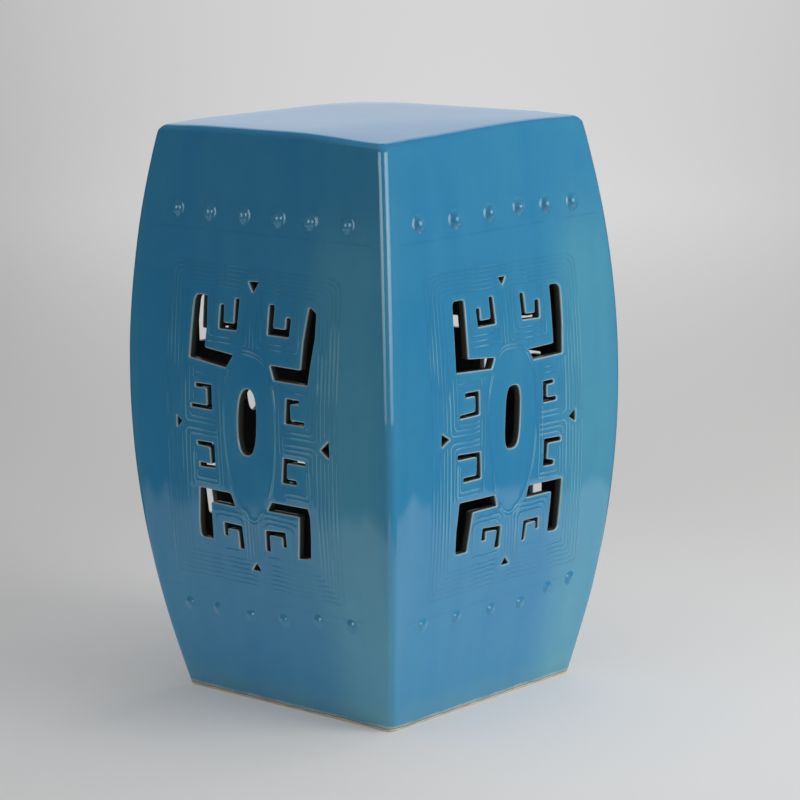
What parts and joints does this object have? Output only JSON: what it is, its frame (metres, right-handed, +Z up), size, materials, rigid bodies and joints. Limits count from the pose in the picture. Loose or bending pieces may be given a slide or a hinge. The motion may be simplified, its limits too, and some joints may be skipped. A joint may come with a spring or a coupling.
{
  "type": "garden stool",
  "caption": "Square ceramic garden stool with bowed, pierced walls in a glazed key-fret pattern, rows of small studs, a flat seat and an open foot.",
  "frame": {"origin": "middle of the foot, on the plane it stands on", "axes": "+Z up through the seat, -Y through the front wall, +X through the right wall"},
  "size_m": [0.283, 0.283, 0.46],
  "materials": {
    "glaze": "gloss",
    "bare_clay": "matte"
  },
  "bodies": {
    "root": {"seat_top": "glaze", "wall_front": "glaze", "wall_right": "glaze", "wall_back": "glaze", "wall_left": "glaze", "base_frame": "bare_clay", "upper_studs_front": "glaze", "lower_studs_front": "glaze", "upper_studs_right": "glaze", "lower_studs_right": "glaze", "upper_studs_back": "glaze", "lower_studs_back": "glaze", "upper_studs_left": "glaze", "lower_studs_left": "glaze", "seat_coil": "bare_clay", "base_coil": "bare_clay", "corner_coil_front_left": "bare_clay", "corner_coil_front_right": "bare_clay", "corner_coil_back_right": "bare_clay", "corner_coil_back_left": "bare_clay"}
  },
  "joints": []
}
